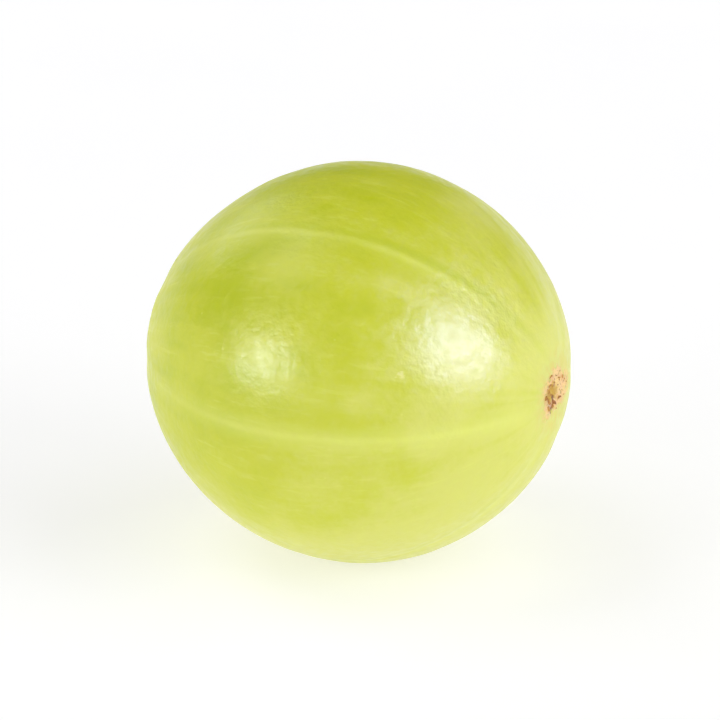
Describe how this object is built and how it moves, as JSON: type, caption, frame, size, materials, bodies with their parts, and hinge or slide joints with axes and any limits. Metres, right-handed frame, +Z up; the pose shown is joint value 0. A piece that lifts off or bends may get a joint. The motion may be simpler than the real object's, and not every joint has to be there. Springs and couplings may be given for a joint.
{
  "type": "indian gooseberry",
  "caption": "Whole round yellow-green fruit with shallow pale furrows running from a tan stalk scar to a small dark blossom pit, lying on its side on a small flat spot.",
  "frame": {"origin": "on the surface that the fruit rests on, under the middle of its box", "axes": "+Z up; +X along the fruit's own axis, from the blossom end to the stalk end; -Y is the side that the picture shows most of"},
  "size_m": [0.033, 0.0316, 0.0308],
  "materials": {
    "skin": "thin, waxy, semi-gloss skin over translucent yellow-green flesh"
  },
  "bodies": {
    "root": {"fruit": "skin"}
  },
  "joints": []
}
